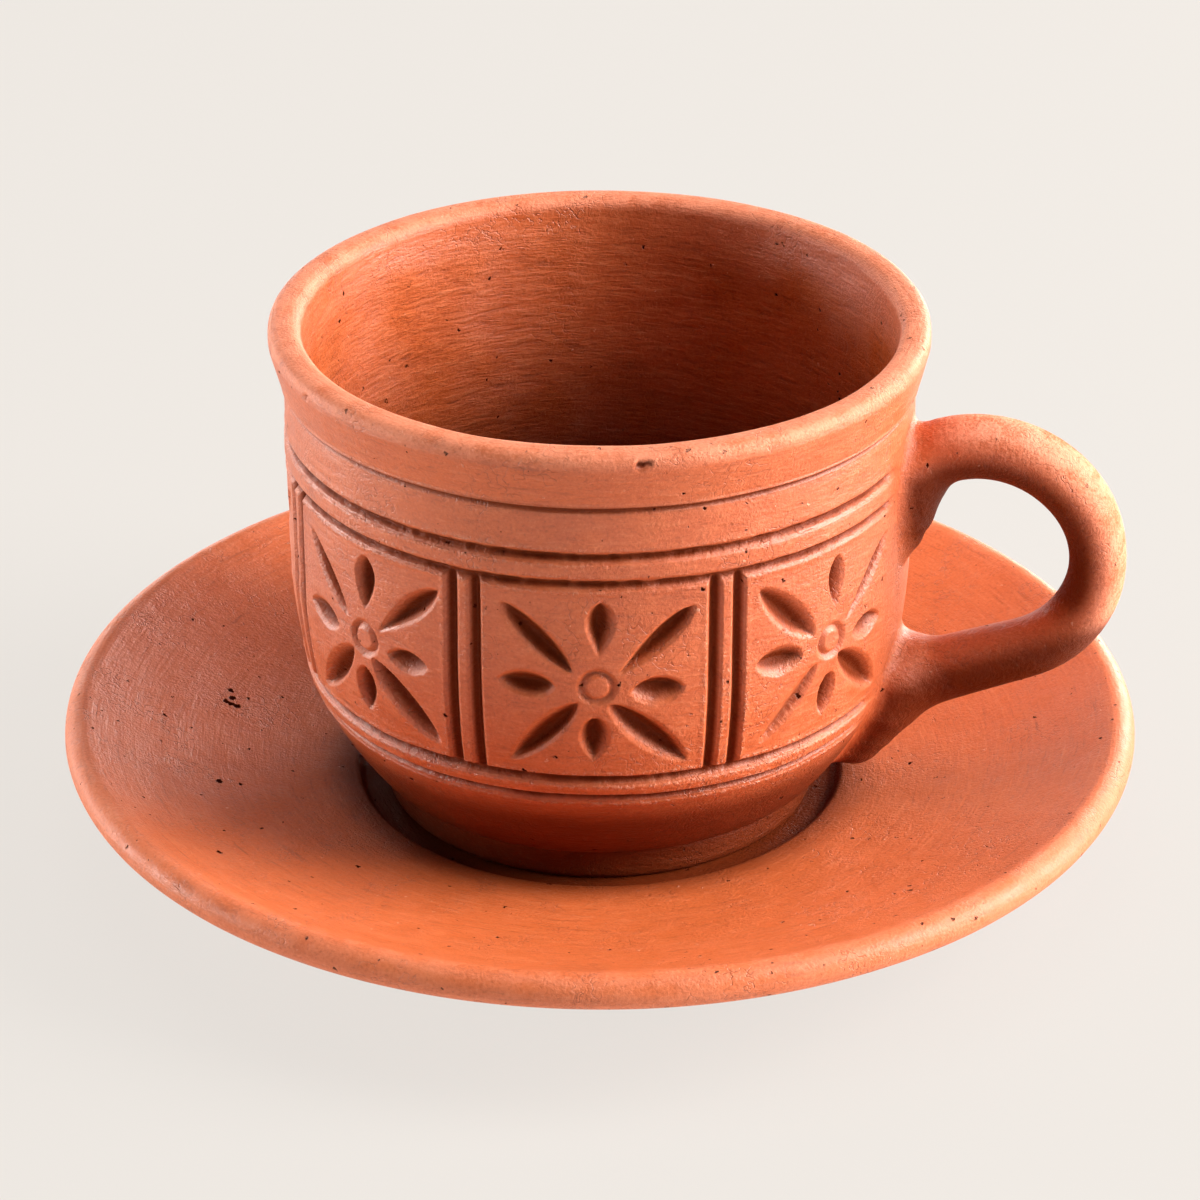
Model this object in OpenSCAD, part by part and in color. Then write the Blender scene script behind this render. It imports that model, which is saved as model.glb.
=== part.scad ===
// Unglazed terracotta cup with a carved frieze, standing in the well of its saucer.
// Millimetres, +Z up. The saucer's foot stands on z = 0 and the cup's handle points along +X.

/* [Cup] */
// Height from the underside of the foot to the top of the lip
cup_h = 66.8; // [62:0.2:76]
// Outer diameter at the lip
lip_d = 84; // [82:0.5:90]
// Thickness of the rounded lip
lip_wall = 4.2; // [3.4:0.1:5]
// Height of the plain band below the lip
lip_band_h = 7.7; // [5:0.1:9]
// How far the lower edge of that band stands out from the wall
lip_step = 0.6; // [0.2:0.1:1]
// Outer diameter of the wall
wall_d = 80.5; // [78:0.5:82]
// Thickness of the wall
wall = 4.5; // [3.8:0.1:5.5]
// Thickness of the bowl's floor
bowl_floor = 4.6; // [3.5:0.1:7]
// Radius of the corner between the wall and the floor inside
inner_corner_r = 18; // [12:0.5:22]
// Height above the foot at which the belly starts to curve in
belly_h = 35; // [32:0.5:38]
// Radius of the belly's curve
belly_r = 70; // [60:1:90]
// Radius of the curve from the lower ring down to the foot
base_r = 47; // [40:1:70]
// Diameter of the flat underside that the foot is luted to
base_d = 60.4; // [60:0.2:62]

/* [Foot of the cup] */
// Outer diameter of the foot
foot_d = 57; // [54:0.2:59]
// Height of the foot
foot_h = 4.9; // [3.5:0.1:6]
// Thickness of the foot's wall
foot_wall = 6; // [4:0.1:9]
// Rounding of the foot's lower edges
foot_round = 0.8; // [0.3:0.1:1.2]

/* [Carving] */
// Number of panels in the frieze
panels = 7; // [4:1:7]
// Turn from each panel to the next, in degrees
panel_turn = 47; // [42:0.5:48]
// Turn from the handle's middle to the middle of the first panel, in degrees
panel_start = 31; // [29:0.5:33]
// Height of the lowest ring groove above the foot
ring_h = 17.7; // [16:0.1:18.5]
// Spacing of the pair of grooves at the foot of the frieze
ring_pitch = 3.1; // [2.4:0.1:4]
// Height of the frieze between its upper and lower grooves
frieze_h = 27.9; // [26:0.1:28.5]
// Spacing of the pair of grooves above the frieze
rib_pitch = 3.7; // [2.4:0.1:4.5]
// Width of the ring grooves
groove_w = 1.1; // [0.6:0.1:1.6]
// Depth of the ring grooves
groove_depth = 0.75; // [0.4:0.05:1]
// Spacing of the two upright grooves between panels
divider_pitch = 3.2; // [2.4:0.1:4.5]
// Width of the upright grooves
divider_w = 1.2; // [0.6:0.1:1.8]
// Depth of the upright grooves
divider_depth = 0.8; // [0.4:0.05:1]
// Distance from the end of an upright groove to the middle of the ring groove near it
divider_end = 0.9; // [0.9:0.1:2]
// Length of the four slanting petals
long_petal_l = 12.7; // [10:0.1:13.4]
// Width of the slanting petals
long_petal_w = 3.4; // [2:0.1:3.8]
// Distance from the flower's middle to the middle of a slanting petal
long_petal_at = 9.5; // [9:0.1:10]
// Length of the four upright and level petals
short_petal_l = 6.6; // [5:0.1:7]
// Width of the upright and level petals
short_petal_w = 3.8; // [2.4:0.1:4]
// Distance from the flower's middle to the middle of an upright or level petal
short_petal_at = 7.9; // [7.4:0.1:8.4]
// Depth of the petals
petal_depth = 1.2; // [0.7:0.05:1.5]
// Diameter of the ring pressed round the flower's middle
eye_d = 3.9; // [3:0.1:5]
// Width of that pressed ring
eye_w = 0.7; // [0.4:0.05:1]

/* [Handle] */
// Thickness of the handle
handle_t = 7.6; // [6:0.1:9]
// Radius of the loop's middle line
loop_r = 14.6; // [13:0.1:16]
// Distance of the loop's centre from the wall
loop_out = 9.8; // [8.5:0.1:11]
// Height of the loop's centre above the foot
loop_h = 38.6; // [38:0.1:40]
// Slope of the straight lower arm
arm_slope = 23; // [18:0.5:28]
// Thickness of the lower arm where it meets the wall
arm_root_t = 9; // [8:0.1:11]
// Diameter of the ball of clay at the upper root
root_high_d = 14; // [12:0.1:16]
// Distance of that ball's middle below the arm, where the arm meets the wall
root_high_drop = 5.4; // [4:0.1:7]
// Diameter of the ball of clay at the lower root
root_low_d = 13.4; // [12:0.1:15]
// Distance of that ball's middle below the arm, where the arm meets the wall
root_low_drop = 6.1; // [5:0.1:7]
// Depth of the balls' middles behind the wall's face
root_sink = 2.4; // [1.5:0.1:3.5]

/* [Saucer] */
// Outer diameter of the saucer
saucer_d = 141.6; // [134:0.2:156]
// Height of the rim's middle above the well's floor
rim_rise = 9.8; // [7:0.1:13]
// Thickness of the rounded rim
rim_t = 4.4; // [3.6:0.1:6]
// Depth of the well that the foot stands in
well_depth = 1.6; // [0.8:0.1:2.4]
// Room around the foot in the well
well_room = 4; // [2:0.1:5]
// Width of the well's sloping side
well_slope = 1; // [0.4:0.1:1.8]
// Radius of the dish's curve
dish_r = 95; // [80:1:140]
// Slope of the dish where it meets the rim
rim_lean = 26; // [15:1:35]
// Thickness of the clay under the well
saucer_floor = 5; // [4:0.1:7]
// Height of the saucer's foot
saucer_foot_h = 2; // [1.5:0.1:3.5]
// Outer diameter of the saucer's foot
saucer_foot_d = 74; // [66:0.5:82]
// Width of the saucer's foot
saucer_foot_w = 7; // [5:0.1:10]

/* [Hidden] */
$fn = 96;
// Colours of the fired clay
clay = "#c4633f";
clay_light = "#cf7047";
clay_dark = "#b5583a";
// How far a cut reaches past the face it opens
past = 1;
// How much thinner the handle's arm is where it starts inside the loop
bedded = 1.6;
// Radius of the curve along which an upright groove is cut
divider_r = 150;

// Heights of the saucer and the cup
well_z = saucer_foot_h + saucer_floor;
dish_z = well_z + well_depth;
rim_z = well_z + rim_rise;
base_z = well_z + foot_h;
lip_z = well_z + cup_h;
band_z = lip_z - lip_band_h;
belly_z = well_z + belly_h;

// Heights of the grooves
ring_low_z = well_z + ring_h;
ring_high_z = ring_low_z + ring_pitch;
rib_low_z = ring_high_z + frieze_h;
rib_high_z = rib_low_z + rib_pitch;
flower_z = (ring_high_z + rib_low_z) / 2;

// Radii
wall_ro = wall_d / 2;
wall_ri = wall_ro - wall;
lip_ro = lip_d / 2;
lip_ri = lip_ro - lip_wall;
base_ro = base_d / 2;
foot_ro = foot_d / 2;
rim_ro = saucer_d / 2;
well_ro = foot_ro + well_room;

// Angle to each side of the handle's middle that the ring grooves leave plain for its roots
plain_angle = 20;

// The wall's outer radius and its lean at a height in the frieze
function belly_drop(z) = max(0, belly_z - z);
function wall_at(z) = wall_ro - belly_r + sqrt(pow(belly_r, 2) - pow(belly_drop(z), 2));
function wall_lean(z) = asin(belly_drop(z) / belly_r);

// Centre of the circle of radius r through a and b that bulges to the right of the way from a to b
function arc_centre(a, b, r) =
    let (
        mid = (a + b) / 2,
        way = (b - a) / norm(b - a),
        back = sqrt(pow(r, 2) - pow(norm(b - a) / 2, 2))
    )
    mid + back * [-way.y, way.x];

base_edge = [base_ro, base_z];
ring_edge = [wall_at(ring_low_z), ring_low_z];
base_centre = arc_centre(base_edge, ring_edge, base_r);

// The wall's outer radius between the foot and the lowest ring groove
function base_at(z) = base_centre.x + sqrt(pow(base_r, 2) - pow(z - base_centre.y, 2));

// The handle's middle line: a round loop that runs straight on into the lower arm
loop_c = [wall_ro + loop_out, well_z + loop_h];
arm_start = loop_c + loop_r * [sin(arm_slope), -cos(arm_slope)];
arm_l = (arm_start.x - wall_ro + wall / 2) / cos(arm_slope);
loop_end = acos((-wall / 2 - loop_out) / loop_r);
root_high_z = loop_c.y + sqrt(pow(loop_r, 2) - pow(loop_out, 2)) - root_high_drop;
root_low_z = arm_start.y - (arm_start.x - wall_ro) * tan(arm_slope) - root_low_drop;

// Half plane to the right of the axis, between two heights
module slab(low, high, reach) {
    translate([0, low]) square([reach, high - low]);
}

// Outline of the bowl without its hollow, from the axis outwards
module bowl_outline() {
    lip_c = [lip_ro - lip_wall / 2, lip_z - lip_wall / 2];
    intersection() {
        translate(base_centre) circle(r = base_r);
        slab(base_z, ring_low_z, wall_ro);
    }
    intersection() {
        translate([wall_ro - belly_r, belly_z]) circle(r = belly_r);
        slab(ring_low_z, belly_z, wall_ro + past);
    }
    slab(belly_z, band_z, wall_ro);
    polygon([
        [0, band_z],
        [wall_ro + lip_step, band_z],
        [lip_ro - lip_wall / 10, lip_c.y],
        [lip_ri, lip_c.y],
        [lip_ri, lip_z - lip_wall],
        [0, lip_z - lip_wall]
    ]);
    translate(lip_c) circle(d = lip_wall);
}

// Outline of the hollow, from the axis outwards
module hollow_outline() {
    floor_z = base_z + bowl_floor;
    corner = [wall_ri - inner_corner_r, floor_z + inner_corner_r];
    intersection() {
        translate(corner) circle(r = inner_corner_r);
        translate([corner.x, floor_z]) square(inner_corner_r);
    }
    slab(floor_z, corner.y, corner.x);
    polygon([
        [0, corner.y],
        [wall_ri, corner.y],
        [lip_ri, lip_z - lip_wall / 2],
        [lip_ri, lip_z + past],
        [0, lip_z + past]
    ]);
}

// A gouge round the wall that stops short of the handle's roots
module ring_groove(z) {
    groove_r = (pow(groove_w / 2, 2) + pow(groove_depth, 2)) / (2 * groove_depth);
    rotate([0, 0, plain_angle])
        rotate_extrude(angle = 360 - 2 * plain_angle)
            translate([wall_at(z) + groove_r - groove_depth, z]) circle(r = groove_r);
}

// An upright gouge along the belly, a little clear of the ring grooves above and below it
module divider_groove() {
    cut_r = (pow(divider_w / 2, 2) + pow(divider_depth, 2)) / (2 * divider_depth);
    low = [wall_at(ring_high_z + divider_end), ring_high_z + divider_end];
    high = [wall_at(rib_low_z - divider_end), rib_low_z - divider_end];
    centre = arc_centre(low, high, divider_r);
    start = atan2(low.y - centre.y, low.x - centre.x);
    turn = atan2(high.y - centre.y, high.x - centre.x) - start;
    translate([centre.x, 0, centre.y])
        rotate([90, 0, 0])
            rotate([0, 0, start])
                rotate_extrude(angle = turn)
                    translate([divider_r + cut_r - divider_depth, 0]) circle(r = cut_r);
}

// A leaf shaped cut, pointed at both ends, upright and facing +X
module leaf_cut(l, w, depth) {
    edge_r = (pow(l / 2, 2) + pow(depth, 2)) / (2 * depth);
    out = edge_r - depth;
    apart = ((pow(edge_r, 2) - pow(out, 2)) / (w / 2) - w / 2) / 2;
    cheek_r = norm([apart, edge_r]);
    intersection() {
        translate([out, -apart, 0]) sphere(r = cheek_r);
        translate([out, apart, 0]) sphere(r = cheek_r);
        translate([-depth, 0, 0]) cube([2 * (depth + past), 2 * w, 2 * l], center = true);
    }
}

// Places its children on the wall at a point of the flower, x round the wall and y up it
module on_wall(at, turn) {
    z = flower_z + at.y;
    rotate([0, 0, at.x / wall_ro * 180 / PI])
        translate([wall_at(z), 0, z])
            rotate([0, wall_lean(z), 0])
                rotate([turn, 0, 0]) children();
}

module flower_cut() {
    for (turn = [45 : 90 : 315])
        on_wall(long_petal_at * [sin(turn), cos(turn)], -turn)
            leaf_cut(long_petal_l, long_petal_w, petal_depth);
    for (turn = [0 : 90 : 270])
        on_wall(short_petal_at * [sin(turn), cos(turn)], -turn)
            leaf_cut(short_petal_l, short_petal_w, petal_depth);
    on_wall([0, 0], 0)
        rotate([0, 90, 0])
            rotate_extrude() translate([eye_d / 2, 0]) circle(d = eye_w);
}

module frieze_cut() {
    for (z = [ring_low_z, ring_high_z, rib_low_z, rib_high_z])
        ring_groove(z);
    for (i = [0 : panels - 1])
        rotate([0, 0, -panel_start - i * panel_turn]) {
            flower_cut();
            for (side = [-1, 1])
                rotate([0, 0, (side * divider_pitch / 2 / wall_ro * 180 / PI) - panel_turn / 2])
                    divider_groove();
        }
}

// The thrown and carved bowl
module cup_bowl() {
    color(clay)
        difference() {
            rotate_extrude()
                difference() {
                    bowl_outline();
                    hollow_outline();
                }
            frieze_cut();
        }
}

// The foot ring under the bowl
module cup_foot() {
    color(clay_dark)
        rotate_extrude() {
            foot_ri = foot_ro - foot_wall;
            translate([foot_ri, well_z + foot_round]) square([foot_wall, foot_h - foot_round]);
            translate([foot_ri + foot_round, well_z]) square([foot_wall - 2 * foot_round, foot_round]);
            for (r = [foot_ri + foot_round, foot_ro - foot_round])
                translate([r, well_z + foot_round]) circle(r = foot_round);
        }
}

// A ball of clay that swells a root, sunk into the wall just below the arm that it carries
module root_ball(wall_r, z, d) {
    translate([wall_r - root_sink, 0, z]) sphere(d = d);
}

// The pulled handle, luted to the wall at both roots
module handle() {
    color(clay_light)
        difference() {
            union() {
                translate([loop_c.x, 0, loop_c.y])
                    rotate([90, 0, 0])
                        rotate([0, 0, arm_slope - 90])
                            rotate_extrude(angle = loop_end + 90 - arm_slope)
                                translate([loop_r, 0]) circle(d = handle_t);
                translate([arm_start.x, 0, arm_start.y])
                    rotate([0, -90 - arm_slope, 0])
                        translate([0, 0, -handle_t / 2])
                            cylinder(h = arm_l + handle_t / 2, d1 = handle_t - bedded, d2 = arm_root_t);
                root_ball(wall_ro, root_high_z, root_high_d);
                root_ball(base_at(root_low_z), root_low_z, root_low_d);
            }
            rotate_extrude() bowl_outline();
        }
}

// Outline of the saucer, from the axis outwards
module saucer_outline() {
    rim_c = [rim_ro - rim_t / 2, rim_z];
    rim_in = rim_c + rim_t / 2 * [-sin(rim_lean), cos(rim_lean)];
    rim_under = rim_c + rim_t / 2 * [sin(rim_lean), -cos(rim_lean)];
    well_edge = [well_ro, dish_z];
    saucer_foot_ro = saucer_foot_d / 2;
    difference() {
        polygon([
            [0, saucer_foot_h],
            [saucer_foot_ro, saucer_foot_h],
            rim_under,
            rim_in,
            well_edge,
            [well_ro - well_slope, well_z],
            [0, well_z]
        ]);
        translate(arc_centre(well_edge, rim_in, dish_r)) circle(r = dish_r);
    }
    translate(rim_c) circle(d = rim_t);
    translate([saucer_foot_ro - saucer_foot_w, 0]) square([saucer_foot_w, saucer_foot_h]);
}

// The dish with its rounded rim, its well and its foot
module saucer() {
    color(clay_light)
        rotate_extrude() saucer_outline();
}

saucer();
cup_foot();
cup_bowl();
handle();
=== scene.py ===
"""Looks of an unglazed terracotta cup and saucer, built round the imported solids.

Blender's own lengths are metres. The shape functions work in millimetres.
+Z is up and the handle points along +X.
"""
import math

import bpy
import numpy as np
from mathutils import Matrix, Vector


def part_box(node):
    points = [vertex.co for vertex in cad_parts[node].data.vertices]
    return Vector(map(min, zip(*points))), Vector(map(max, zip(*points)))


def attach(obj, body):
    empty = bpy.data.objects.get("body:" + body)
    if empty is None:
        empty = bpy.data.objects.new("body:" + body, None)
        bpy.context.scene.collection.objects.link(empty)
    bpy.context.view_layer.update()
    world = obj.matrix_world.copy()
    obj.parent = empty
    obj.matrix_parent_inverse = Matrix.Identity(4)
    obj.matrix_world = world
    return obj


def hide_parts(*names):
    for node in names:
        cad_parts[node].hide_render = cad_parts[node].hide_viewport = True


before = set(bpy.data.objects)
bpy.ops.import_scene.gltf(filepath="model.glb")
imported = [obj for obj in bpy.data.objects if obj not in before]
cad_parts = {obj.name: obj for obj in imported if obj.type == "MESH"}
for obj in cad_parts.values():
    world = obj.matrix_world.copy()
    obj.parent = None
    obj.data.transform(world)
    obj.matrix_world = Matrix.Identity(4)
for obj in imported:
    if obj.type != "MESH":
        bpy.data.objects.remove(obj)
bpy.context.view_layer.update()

MM = 0.001
TURN = 2 * math.pi


def box_mm(node):
    """Lowest and highest corner of a solid, in millimetres."""
    return [np.array(corner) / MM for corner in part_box(node)]


bowl_low, bowl_high = box_mm("cup_bowl")
foot_low, foot_high = box_mm("cup_foot")
saucer_high = box_mm("saucer")[1]

# Cup, from the solids
lip_ro = bowl_high[0]
lip_z = bowl_high[2]
base_z = bowl_low[2]
well_z = foot_low[2]
foot_ro = foot_high[0]

# Cup, sizes that the boxes of the solids don't give
lip_wall = 4.2
lip_band_h = 7.7
lip_step = 0.5
wall_ro = 40.25
wall_ri = 35.75
bowl_floor = 4.6
inner_corner_r = 18.0
belly_z = well_z + 35
belly_r = 70.0
base_r = 47.0
base_ro = 30.2
foot_wall = 6.0
foot_edge_r = 0.9
band_z = lip_z - lip_band_h
lip_c = np.array([lip_ro - lip_wall / 2, lip_z - lip_wall / 2])
lip_ri = lip_ro - lip_wall

# Carving
panels = 7
panel_turn = math.radians(47)
panel_start = math.radians(31)
panel_half = panel_turn * wall_ro / 2
ring_low_z = well_z + 17.7
ring_high_z = ring_low_z + 3.1
rib_low_z = ring_high_z + 27.9
rib_high_z = rib_low_z + 3.7
flower_z = (ring_high_z + rib_low_z) / 2
ring_zs = [ring_low_z, ring_high_z, rib_low_z, rib_high_z]
ring_reach = 0.8
ring_depth = 0.85
rib_swell = 0.16
divider_pitch = 3.2
divider_reach = 0.95
divider_depth = 1.1
divider_tilt = 0.008
burr = 0.09
eye_r = 1.95
eye_reach = 0.6
eye_depth = 0.6
eye_swell = 0.12

# Petals of the flower: inner end, outer end, width, depth, where it is widest and which way its keel lies
LONG_D = 1.95
SHORT_D = 1.85
PETALS = [
    ((-3.1, 2.1), (-11.9, 10.9), 3.5, LONG_D, 1.0, 0.15),
    ((2.5, 1.8), (12.0, 10.4), 2.9, LONG_D, 1.5, -0.1),
    ((-2.4, -2.3), (-11.0, -11.2), 3.4, LONG_D, 0.9, 0.4),
    ((1.5, -2.5), (11.3, -11.5), 4.2, LONG_D, 0.95, 0.05),
    ((0.2, 4.5), (0.5, 11.6), 3.9, SHORT_D, 1.4, 0.25),
    ((-0.1, -4.4), (-0.4, -10.5), 3.9, SHORT_D, 0.8, -0.2),
    ((-5.3, -0.2), (-12.2, 0.3), 3.9, SHORT_D, 0.9, 0.1),
    ((4.2, -0.8), (10.7, -0.7), 4.0, SHORT_D, 1.0, 0.25),
]
# How far each flower was cut from the middle of its panel
FLOWER_SHIFTS = [-0.3, 0.35, 0.9, 0.2, -0.5, 0.4, 0.1]
# Shares of the width and depth of each petal in the flowers to both sides of the second one
PETAL_SHARES = {
    0: [(1.1, 1.0), (0.8, 0.8), (0.8, 0.5), (1.0, 1.0), (0.8, 0.9), (0.8, 0.9), (1.1, 0.9), (0.9, 0.8)],
    2: [(0.8, 0.8), (1.15, 1.0), (1.1, 1.0), (0.95, 1.0), (0.95, 1.0), (0.95, 1.0), (0.9, 0.8), (0.85, 0.9)],
}
# Spread of the petals' ends and of their sizes, and how much of the first the second flower keeps
PETAL_STRAY = 0.18
PETAL_SPREAD = 0.04
STEADY_FLOWER = 1
STEADY_SHARE = 0.3

# Saucer
rim_ro = saucer_high[0]
rim_r = 2.2
rim_c = np.array([rim_ro - rim_r, saucer_high[2] - rim_r])
rim_lean = math.radians(26)
well_depth = 1.6
well_ro = foot_ro + 4
well_slope = 1.0
dish_z = well_z + well_depth
dish_r = 95.0
saucer_foot_h = 2.0
saucer_foot_ro = 37.0
saucer_foot_w = 7.0

# Radius of the smallest ring of a turned piece
POLE_R = 0.6

# Unevenness by hand, as layers of noise: height, cells and seed
NOISE_SPAN = 80
WALL_WOBBLE = [(0.14, (5, 3), 11), (0.05, (36, 20), 12)]
RING_SWAY = [(0.12, (9, 2), 20), (0.04, (90, 2), 30)]
RING_CRUMBLE = [(0.16, (260, 2), 40), (0.12, (60, 2), 50)]
LIP_LIFT = [(0.22, (7, 2), 3)]
HOLLOW_WOBBLE = [(0.07, (9, 22), 5)]
FOOT_WOBBLE = [(0.1, (8, 3), 61)]
ROOT_RAGGED = [(0.05, (150, 50), 66), (0.05, (60, 16), 67)]
HANDLE_LUMPS = [(0.16, (44, 10), 68)]
SAUCER_WOBBLE = [(0.1, (6, 4), 81), (0.05, (30, 20), 82)]
DISH_RING_SWAY = [(0.05, (5, 1), 83)]
DISH_RINGS = [(0.05, (4, 26), 84)]
RIM_LIFT = [(0.3, (4, 2), 85)]


def smooth(x, low, high):
    """0 below low, 1 above high, and a soft step between."""
    t = np.clip((x - low) / (high - low), 0, 1)
    return t * t * (3 - 2 * t)


def hump(x, middle, reach):
    """1 at the middle, falling off softly to both sides."""
    return np.exp(-((x - middle) / reach) ** 2)


def noise(u, v, cells, seed):
    """Soft noise from -1 to 1 over u, which closes on itself at 1, and v."""
    grid = np.random.default_rng(seed).uniform(-1, 1, cells)
    x = u * cells[0]
    y = v * cells[1]
    i = np.floor(x).astype(int)
    j = np.floor(y).astype(int)
    fx = x - i
    fy = y - j
    fx = fx * fx * (3 - 2 * fx)
    fy = fy * fy * (3 - 2 * fy)
    i0 = i % cells[0]
    i1 = (i + 1) % cells[0]
    j0 = j % cells[1]
    j1 = (j + 1) % cells[1]
    low = grid[i0, j0] * (1 - fx) + grid[i1, j0] * fx
    high = grid[i0, j1] * (1 - fx) + grid[i1, j1] * fx
    return low * (1 - fy) + high * fy


def layers(u, v, rows, copy=0):
    """Sum of layers of noise. The number of a copy is added to the seeds."""
    return sum(height * noise(u, v, cells, seed + copy) for height, cells, seed in rows)


def arc_centre(a, b, r):
    """Centre of the circle of radius r through a and b that bulges to the right of the way from a to b."""
    a = np.array(a, float)
    b = np.array(b, float)
    chord = np.linalg.norm(b - a)
    way = (b - a) / chord
    return (a + b) / 2 + math.sqrt(r * r - chord * chord / 4) * np.array([-way[1], way[0]])


def belly_at(z):
    """Outer radius of the upper wall, which is upright above the belly's height."""
    drop = np.clip(belly_z - z, 0, belly_r)
    return wall_ro - belly_r + np.sqrt(belly_r ** 2 - drop ** 2)


base_c = arc_centre((base_ro, base_z), (belly_at(ring_low_z), ring_low_z), base_r)


def wall_at(z):
    """Outer radius of the plain wall at a height."""
    base = base_c[0] + np.sqrt(np.clip(base_r ** 2 - (z - base_c[1]) ** 2, 0, None))
    return np.where(z < ring_low_z, base, belly_at(z))


def wall_wobble(theta, z):
    """How far the thrown wall strays from round."""
    return layers(theta / TURN, z / NOISE_SPAN, WALL_WOBBLE)


def resample(points, spacing):
    """Points along a polyline at the spacing given for each of its points."""
    points = np.array(points, float)
    step = np.linalg.norm(np.diff(points, axis=0), axis=1)
    count = np.concatenate([[0], np.cumsum(2 * step / (spacing[:-1] + spacing[1:]))])
    at = np.linspace(0, count[-1], int(round(count[-1])) + 1)
    return np.column_stack([np.interp(at, count, points[:, k]) for k in (0, 1)])


def fine(points, step=0.05):
    """A polyline with points no further apart than about one step."""
    points = np.array(points, float)
    made = [points[:1]]
    for a, b in zip(points[:-1], points[1:]):
        n = max(1, int(np.linalg.norm(b - a) / step))
        made.append(a + (b - a) * np.linspace(0, 1, n + 1)[1:, None])
    return np.vstack(made)


def arc(centre, r, start, end, n=48):
    """Points of an arc, angles in degrees."""
    t = np.radians(np.linspace(start, end, n))
    return np.column_stack([centre[0] + r * np.cos(t), centre[1] + r * np.sin(t)])


def normals_of(path, closed=False):
    """Unit normals to the right of a path's way."""
    if closed:
        way = np.roll(path, -1, 0) - np.roll(path, 1, 0)
    else:
        way = np.gradient(path, axis=0)
    way /= np.linalg.norm(way, axis=1)[:, None]
    return np.column_stack([way[:, 1], -way[:, 0]])


class Shell:
    """Vertices and faces of one turned piece, ring by ring."""

    def __init__(self):
        self.rings = []
        self.points = []
        self.faces = []
        self.values = []
        self.count = 0

    def ring(self, r, z, theta, *values):
        points = np.column_stack([r * np.cos(theta), r * np.sin(theta), z + 0 * theta])
        self.rings.append(np.arange(len(points)) + self.count)
        self.points.append(points)
        self.values.append([value + 0 * theta for value in values])
        self.count += len(points)

    def pole(self, z, *values):
        self.rings.append(np.array([self.count]))
        self.points.append(np.array([[0, 0, z]]))
        self.values.append([np.array([value]) for value in values])
        self.count += 1

    def join(self, a, b):
        """Faces between two rings. The second one may have half the points."""
        a1 = np.roll(a, -1)
        b1 = np.roll(b, -1)
        if len(a) == len(b):
            self.faces += np.column_stack([a, a1, b1, b]).tolist()
        elif len(b) == 1:
            self.faces += np.column_stack([a, a1, b.repeat(len(a))]).tolist()
        elif len(a) == 1:
            self.faces += np.column_stack([a.repeat(len(b)), b1, b]).tolist()
        else:
            even = a[0::2]
            odd = a[1::2]
            after = np.roll(even, -1)
            self.faces += np.column_stack([even, odd, b]).tolist()
            self.faces += np.column_stack([odd, b1, b]).tolist()
            self.faces += np.column_stack([odd, after, b1]).tolist()

    def close(self, loop=False):
        """All points, faces and values. A loop joins the last ring to the first one."""
        for a, b in zip(self.rings[:-1], self.rings[1:]):
            self.join(a, b)
        if loop:
            self.join(self.rings[-1], self.rings[0])
        values = [np.concatenate(value) for value in zip(*self.values)]
        return np.vstack(self.points), self.faces, values


def piece(name, points, faces, values, node, body, material):
    """A new piece that stands for a solid and rides on its body.

    The values are read by its material at each point.
    """
    mesh = bpy.data.meshes.new(name)
    mesh.from_pydata((points * MM).tolist(), [], faces)
    mesh.shade_smooth()
    for key, value in values.items():
        mesh.attributes.new(key, "FLOAT", "POINT").data.foreach_set("value", value.astype(np.float32))
    mesh.materials.append(material)
    obj = bpy.data.objects.new(name, mesh)
    bpy.context.scene.collection.objects.link(obj)
    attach(obj, body)
    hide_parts(node)
    return obj


# Carved wall of the bowl

# How blunt a groove's point is
BLUNT = 0.06
# Middle and width of a burr against the groove's reach, and the depth of cut at which it ends
BURR_AT = 1.3
BURR_WIDTH = 0.3
BURR_END = 0.15
# Powers of a petal's outline, of its keel along it and of its flanks
PETAL_OUTLINE = 0.7
PETAL_KEEL = 0.5
PETAL_FLANK = 1.2
# Distances into the frieze over which the upright grooves start
DIVIDER_END = (-0.2, 0.4)
# How far past its own edges a panel is worked out
PANEL_MARGIN = 4
FLOWER_SEED = 70
DIVIDER_SEED = 90
# Degrees from the handle's plane over which the rings fade in, above and below the flowers
HIGH_RING_ENDS = (11, 15)
LOW_RING_ENDS = (14, 18)


def groove(d, reach, depth):
    """A groove cut with a slightly blunt point, d from its middle."""
    t = np.clip(np.abs(d) / reach, 0, 1)
    edge = math.sqrt(1 + BLUNT)
    return depth * (edge - np.sqrt(t * t + BLUNT)) / (edge - math.sqrt(BLUNT))


def shoulder(d, reach):
    """The burr that a groove's cutting raised along both its edges."""
    return burr * hump(np.abs(d) / reach, BURR_AT, BURR_WIDTH)


def petal(x, y, start, end, width, depth, fat, keel):
    """A leaf shaped gouge from start to end."""
    ax, ay = start
    bx, by = end
    length = math.hypot(bx - ax, by - ay)
    wx = (bx - ax) / length
    wy = (by - ay) / length
    t = ((x - ax) * wx + (y - ay) * wy) / length
    across = (y - ay) * wx - (x - ax) * wy
    inside = (t > 0) & (t < 1)
    shifted = np.clip(t, 1e-6, 1 - 1e-6) ** fat
    bow = 4 * shifted * (1 - shifted)
    half = width / 2 * bow ** PETAL_OUTLINE
    q = across / half
    flank = np.where(q > keel, (q - keel) / (1 - keel), (keel - q) / (1 + keel))
    cut = depth * bow ** PETAL_KEEL * (1 - np.clip(flank, 0, 1) ** PETAL_FLANK)
    return np.where(inside & (np.abs(q) < 1), cut, 0)


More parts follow.
